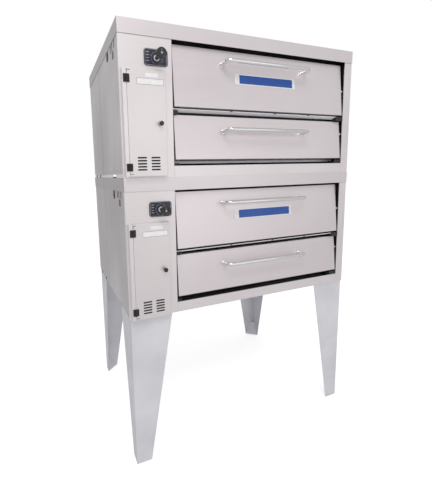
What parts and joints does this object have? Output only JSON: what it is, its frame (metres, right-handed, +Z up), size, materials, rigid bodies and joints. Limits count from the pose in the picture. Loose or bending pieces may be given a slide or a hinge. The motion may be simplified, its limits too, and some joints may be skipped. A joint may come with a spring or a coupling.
{
  "type": "double deck pizza oven",
  "caption": "Stacked gas deck pizza oven on tapered legs, with drop-down baking and burner doors, side service doors and thermostats.",
  "frame": {"origin": "on the floor, at the centre of the bounding box", "axes": "+X across the front from left to right, +Y from the front to the back, +Z up"},
  "size_m": [1.325, 1.05, 2.082],
  "materials": {
    "cabinet_steel": "satin",
    "door_steel": "satin",
    "side_steel": "satin",
    "sill_steel": "satin",
    "leg_paint": "satin",
    "chrome_bar": "polished",
    "black_metal": "satin",
    "black_plastic": "satin",
    "dial_navy": "satin",
    "badge_blue": "gloss",
    "baking_stone": "matte",
    "chamber_steel": "satin",
    "burner_iron": "matte",
    "gas_pipe": "satin",
    "door_core": "matte"
  },
  "bodies": {
    "cabinet": {"front_left_leg": "leg_paint", "front_right_leg": "leg_paint", "rear_left_leg": "leg_paint", "rear_right_leg": "leg_paint", "lower_lid": "cabinet_steel", "lower_left_side_panel": "side_steel", "lower_right_side_panel": "side_steel", "lower_back_panel": "side_steel", "lower_bottom_pan": "side_steel", "lower_control_panel": "cabinet_steel", "lower_right_stile": "cabinet_steel", "lower_bottom_rail": "cabinet_steel", "lower_door_sills": "sill_steel", "lower_hinge_brackets": "black_metal", "lower_chamber_liner": "chamber_steel", "lower_hearth_deck": "baking_stone", "lower_burners": "burner_iron", "lower_gas_controls": "gas_pipe", "lower_dial_plate": "dial_navy", "lower_service_hinge_mounts": "black_metal", "upper_lid": "cabinet_steel", "upper_left_side_panel": "side_steel", "upper_right_side_panel": "side_steel", "upper_back_panel": "side_steel", "upper_bottom_pan": "side_steel", "upper_control_panel": "cabinet_steel", "upper_right_stile": "cabinet_steel", "upper_bottom_rail": "cabinet_steel", "upper_door_sills": "sill_steel", "upper_hinge_brackets": "black_metal", "upper_chamber_liner": "chamber_steel", "upper_hearth_deck": "baking_stone", "upper_burners": "burner_iron", "upper_gas_controls": "gas_pipe", "upper_dial_plate": "dial_navy", "upper_service_hinge_mounts": "black_metal"},
    "lower_baking_door_assembly": {"lower_baking_door": "door_steel", "lower_baking_door_core": "door_core", "lower_baking_handle": "chrome_bar", "lower_nameplate": "badge_blue"},
    "lower_burner_door_assembly": {"lower_burner_door": "door_steel", "lower_burner_door_core": "door_core", "lower_burner_handle": "chrome_bar"},
    "lower_service_door_assembly": {"lower_service_door": "cabinet_steel", "lower_service_hinge_leaves": "black_metal", "lower_service_pull": "black_plastic"},
    "lower_thermostat_dial": {"lower_thermostat_knob": "black_plastic"},
    "lower_gas_valve_dial": {"lower_gas_valve_knob": "black_plastic"},
    "upper_baking_door_assembly": {"upper_baking_door": "door_steel", "upper_baking_door_core": "door_core", "upper_baking_handle": "chrome_bar", "upper_nameplate": "badge_blue"},
    "upper_burner_door_assembly": {"upper_burner_door": "door_steel", "upper_burner_door_core": "door_core", "upper_burner_handle": "chrome_bar"},
    "upper_service_door_assembly": {"upper_service_door": "cabinet_steel", "upper_service_hinge_leaves": "black_metal", "upper_service_pull": "black_plastic"},
    "upper_thermostat_dial": {"upper_thermostat_knob": "black_plastic"},
    "upper_gas_valve_dial": {"upper_gas_valve_knob": "black_plastic"}
  },
  "joints": [
    {"name": "lower_baking_door_hinge", "type": "hinge", "parent": "cabinet", "child": "lower_baking_door_assembly", "pos_m": [0.094, -0.43302, 1.08738], "axis": [1, 0, 0], "range_deg": [0, 95]},
    {"name": "lower_burner_door_hinge", "type": "hinge", "parent": "cabinet", "child": "lower_burner_door_assembly", "pos_m": [0.094, -0.43302, 0.85088], "axis": [1, 0, 0], "range_deg": [0, 95]},
    {"name": "lower_service_door_hinge", "type": "hinge", "parent": "cabinet", "child": "lower_service_door_assembly", "pos_m": [-0.63585, -0.479, 0.992], "axis": [0, 0, -1], "range_deg": [0, 120]},
    {"name": "lower_thermostat_turn", "type": "hinge", "parent": "cabinet", "child": "lower_thermostat_dial", "pos_m": [-0.492, -0.45, 1.274], "axis": [0, 1, 0], "range_deg": [0, 300]},
    {"name": "lower_gas_valve_turn", "type": "hinge", "parent": "cabinet", "child": "lower_gas_valve_dial", "pos_m": [-0.56, -0.4, 1.012], "axis": [0, 1, 0], "range_deg": [0, 180]},
    {"name": "upper_baking_door_hinge", "type": "hinge", "parent": "cabinet", "child": "upper_baking_door_assembly", "pos_m": [0.094, -0.43302, 1.74738], "axis": [1, 0, 0], "range_deg": [0, 95]},
    {"name": "upper_burner_door_hinge", "type": "hinge", "parent": "cabinet", "child": "upper_burner_door_assembly", "pos_m": [0.094, -0.43302, 1.51088], "axis": [1, 0, 0], "range_deg": [0, 95]},
    {"name": "upper_service_door_hinge", "type": "hinge", "parent": "cabinet", "child": "upper_service_door_assembly", "pos_m": [-0.63585, -0.479, 1.652], "axis": [0, 0, -1], "range_deg": [0, 120]},
    {"name": "upper_thermostat_turn", "type": "hinge", "parent": "cabinet", "child": "upper_thermostat_dial", "pos_m": [-0.492, -0.45, 1.934], "axis": [0, 1, 0], "range_deg": [0, 300]},
    {"name": "upper_gas_valve_turn", "type": "hinge", "parent": "cabinet", "child": "upper_gas_valve_dial", "pos_m": [-0.56, -0.4, 1.672], "axis": [0, 1, 0], "range_deg": [0, 180]}
  ]
}
